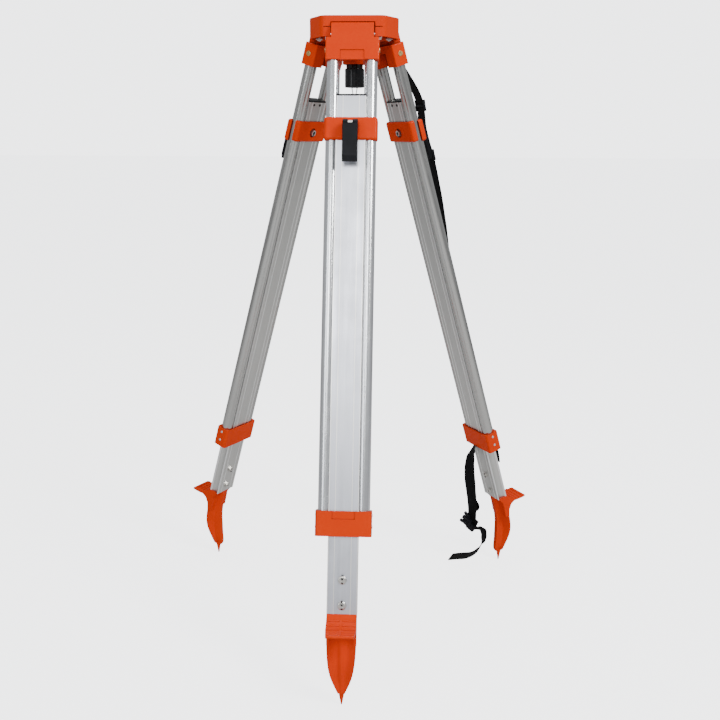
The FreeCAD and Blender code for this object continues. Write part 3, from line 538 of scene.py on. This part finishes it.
def web_rings(route, line, profile, seed):
    """Places of the profile's points at every point of the line, and the length run so far."""
    wobble = random.Random(seed)
    slack_phase, ripple_phase = (wobble.uniform(0, 2 * math.pi) for _ in range(2))
    level = leg_axes(STRAP_LEG)[1]
    rings, marks, run = [], [], 0.0
    for i, point in enumerate(line):
        before, after = line[max(i - 1, 0)], line[min(i + 1, len(line) - 1)]
        tangent = (after - before).normalized()
        run += (point - before).length
        side = (level - tangent * level.dot(tangent)).normalized()
        side.rotate(Quaternion(tangent, twist_at(route, i / (len(line) - 1))))
        normal = tangent.cross(side)
        slack = SLACK * MM * math.sin(run * SLACK_WAVES + slack_phase)
        ripple = RIPPLE * math.sin(run * RIPPLE_WAVES + ripple_phase) / WEB_HALF
        rings.append([point + side * (x + (slack if x > 0 else -slack)) + normal * (y + x * ripple)
                      for x, y in profile])
        marks.append(run)
    return rings, marks


def ribbon(name, route, material, body, seed):
    """Woven strap along a route; returns the piece and its centreline."""
    line = smooth_line([on_leg(u, v, w) for u, v, w, _ in route])
    profile = web_section()
    places, marks = web_rings(route, line, profile, seed)
    mesh = bpy.data.meshes.new(name)
    build = bmesh.new()
    weave = build.loops.layers.uv.new("weave")
    rings = [[build.verts.new(place) for place in ring] for ring in places]
    count = len(profile)
    for i in range(len(rings) - 1):
        for k in range(count):
            n = (k + 1) % count
            face = build.faces.new((rings[i][k], rings[i][n], rings[i + 1][n], rings[i + 1][k]))
            face.smooth = True
            corners = ((marks[i], profile[k][0]), (marks[i], profile[n][0]),
                       (marks[i + 1], profile[n][0]), (marks[i + 1], profile[k][0]))
            for loop, corner in zip(face.loops, corners):
                loop[weave].uv = corner
    for ring, mark in ((rings[0], 0.0), (rings[-1], marks[-1])):
        for loop in build.faces.new(ring).loops:
            loop[weave].uv = (mark, 0.0)
    bmesh.ops.recalc_face_normals(build, faces=build.faces)
    build.to_mesh(mesh)
    build.free()
    return new_piece(name, mesh, material, body), line


# ---------------------------------------------------------------- moulded plastic on the webbing

# place and tilt on the strap leg
SLIDER_AT = (133, 28, 57.0, 6)
KEEPER_AT = (222, 28, 52.1, 1)
STITCHING_AT = (243, 28, 52.25, 1)
# the buckle's place on the strap leg, and the directions of its length and its width
BUCKLE_AT = (964.5, 14, -69.0)
BUCKLE_ALONG = Vector((0.756, -0.126, -0.640))
BUCKLE_SIDE = Vector((0.42, 0.82, 0.33))
# rows of stitches across the webbing, and each stitch's pitch, length, thread and rounding in mm
STITCH_ROWS = (-9.5, -3.2, 3.2, 9.5)
STITCHES = 5
STITCH_START, STITCH_PITCH, STITCH_LENGTH = -7.5, 3.0, 2.1
STITCH_HALF, STITCH_LOW, STITCH_HIGH, STITCH_ROUND = 0.35, 0.95, 1.4, 0.17
BEVEL_STEPS = 3


def rounded_box(build, low, high, round_off):
    """Adds a box with rounded edges, from its low to its high corner in mm."""
    made = bmesh.ops.create_cube(build, size=1.0)["verts"]
    for vert in made:
        for axis in range(3):
            middle = (low[axis] + high[axis]) / 2
            vert.co[axis] = (middle + vert.co[axis] * (high[axis] - low[axis])) * MM
    edges = {edge for vert in made for edge in vert.link_edges}
    bmesh.ops.bevel(build, geom=list(edges), offset=round_off * MM, segments=BEVEL_STEPS, profile=0.5,
                    affect="EDGES")


def moulding(name, boxes, place, material, body):
    """One moulded piece from rounded boxes (low, high, rounding, turn about z in degrees)."""
    mesh = bpy.data.meshes.new(name)
    whole = bmesh.new()
    for low, high, round_off, turn in boxes:
        part = bmesh.new()
        rounded_box(part, low, high, round_off)
        centre = Vector((low[a] + high[a]) / 2 * MM for a in range(3))
        spin = Matrix.Rotation(math.radians(turn), 3, "Z")
        bmesh.ops.rotate(part, verts=part.verts, cent=centre, matrix=spin)
        piece = bpy.data.meshes.new("part")
        part.to_mesh(piece)
        part.free()
        whole.from_mesh(piece)
        bpy.data.meshes.remove(piece)
    for face in whole.faces:
        face.smooth = True
    whole.to_mesh(mesh)
    whole.free()
    mesh.transform(place)
    return new_piece(name, mesh, material, body)


def both_sides(low, high, round_off, turn=0.0):
    """A box for moulding and its mirror image in y."""
    mirrored_low, mirrored_high = (low[0], -high[1], low[2]), (high[0], -low[1], high[2])
    return [(low, high, round_off, turn), (mirrored_low, mirrored_high, round_off, -turn)]


def slider_boxes():
    """Slider frame: two side rails, three bars over the webbing and one under it."""
    return [
        *both_sides((-10, -14.7, -2.6), (10, -12.9, 2.6), 0.7),
        ((-9.9, -13.6, 1.1), (-6.3, 13.6, 3.4), 0.9, 0),
        ((6.3, -13.6, 1.1), (9.9, 13.6, 3.4), 0.9, 0),
        ((-2.0, -13.6, -3.4), (2.0, 13.6, -1.1), 0.9, 0),
        ((-1.6, -12.4, 1.0), (1.6, 12.4, 2.7), 0.8, 0),
    ]


def buckle_boxes():
    """Male half of a side-release buckle: a frame with bars for the webbing, a web and three prongs."""
    return [
        ((0.0, -15.2, -3.8), (6.0, 15.2, 3.8), 1.6, 0),
        ((14.5, -14.6, -3.4), (18.5, 14.6, 3.4), 1.4, 0),
        *both_sides((1.5, -15.2, -3.6), (17.5, -11.8, 3.6), 1.2),
        ((7.0, -13.5, -2.6), (15.5, 13.5, 0.6), 1.2, 0),
        ((-17.0, -4.2, -2.8), (2.5, 4.2, 2.8), 1.6, 0),
        *both_sides((-14.0, -13.4, -2.8), (2.5, -6.9, 2.8), 1.6, -2.0),
        *both_sides((-18.4, -14.6, -2.9), (-9.5, -8.0, 2.9), 2.2, 8.0),
        ((-7.0, -11.0, -1.0), (2.5, 11.0, 1.0), 0.6, 0),
    ]


def stitch_boxes():
    """Rows of thread stitches standing just proud of the webbing."""
    boxes = []
    for k in range(STITCHES):
        x = STITCH_START + k * STITCH_PITCH
        for y in STITCH_ROWS:
            low = (x, y - STITCH_HALF, STITCH_LOW)
            high = (x + STITCH_LENGTH, y + STITCH_HALF, STITCH_HIGH)
            boxes.append((low, high, STITCH_ROUND, 0))
    return boxes


def dress_straps(materials):
    web, plastic = materials["webbing"], materials["black_plastic"]
    body = f"upper_leg_{STRAP_LEG}"
    shoulder, line = ribbon("shoulder_webbing", SHOULDER_ROUTE, web, body, 3)
    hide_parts("shoulder_strap")
    slider = moulding("slider_frame", slider_boxes(), leg_frame(*SLIDER_AT), plastic, body)
    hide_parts("strap_slider")
    keeper = moulding("keeper_frame", slider_boxes(), leg_frame(*KEEPER_AT), plastic, body)
    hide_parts("strap_keeper")
    stitching = moulding("shoulder_stitching", stitch_boxes(), leg_frame(*STITCHING_AT), web, body)
    closing, line = ribbon("closing_webbing", CLOSING_ROUTE, web, body, 5)
    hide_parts("closing_strap")
    buckle_place = turned(BUCKLE_AT, BUCKLE_ALONG, BUCKLE_SIDE)
    buckle = moulding("buckle_prongs", buckle_boxes(), buckle_place, plastic, body)
    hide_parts("closing_buckle")
    fold, _ = ribbon("closing_fold", FOLD_ROUTE, web, body, 8)
    ribbon("webbing_end", STUB_ROUTE, web, body, 11)


# ---------------------------------------------------------------- painted shade in the driver recesses of the screw heads

# millimetres
HEAD_SPACING = 8
HEAD_FACE = 9.0
RECESS_HALF = {"foot_screws": 1.9, "clamp_bolt": 2.6}
SLOT_HALF = 0.55
SLOT_DEPTH, SLOT_PROUD, SLOT_ROUND = 0.9, 0.05, 0.03
SLOT_TURNS = (30.0, 120.0)
# a head's end of a screw has at least this many mesh points
HEAD_POINTS = 12


def screw_ends(node, leg):
    """Mesh points of a node in its leg's own axes, in one group per screw and side of the leg."""
    into = leg_matrix(leg).inverted()
    groups = {}
    for vertex in NODES[node].data.vertices:
        point = into @ (NODES[node].matrix_world @ vertex.co) / MM
        groups.setdefault((round(point.x / HEAD_SPACING), point.z > 0), []).append(point)
    return groups


def middle_of(values):
    """Halfway between the lowest and the highest value."""
    values = list(values)
    return (min(values) + max(values)) / 2


def cross_recess(name, node, leg, material, size, inner_only=False):
    """Dark cross pieces on the screw heads of a node, which face out of the leg and into it: painted shade for the
    inside of the cross recesses.
    """
    boxes = []
    for (_, outer), group in screw_ends(node, leg).items():
        top = max((point.z for point in group), key=abs)
        if len(group) < HEAD_POINTS or abs(top) < HEAD_FACE or (outer and inner_only):
            continue
        x, y = middle_of(point.x for point in group), middle_of(point.y for point in group)
        ends = sorted((top - math.copysign(SLOT_DEPTH, top), top + math.copysign(SLOT_PROUD, top)))
        low, high = ((x + s * size, y + s * SLOT_HALF, z) for s, z in zip((-1, 1), ends))
        boxes += [(low, high, SLOT_ROUND, turn) for turn in SLOT_TURNS]
    return moulding(name, boxes, leg_matrix(leg), material, f"lower_leg_{leg}")


def dress_screws(materials):
    for leg in LEGS:
        cross_recess(f"foot_screw_slot_shade_{leg}", f"foot_screws_{leg}", leg, materials["recess"],
                     RECESS_HALF["foot_screws"])
        cross_recess(f"clamp_bolt_slot_shade_{leg}", f"clamp_bolt_{leg}", leg, materials["recess"],
                     RECESS_HALF["clamp_bolt"], inner_only=True)


make_camera()
make_world()
make_lights()
make_floor()
MATERIALS = make_materials()
dress_cad_nodes(MATERIALS)
dress_straps(MATERIALS)
dress_screws(MATERIALS)
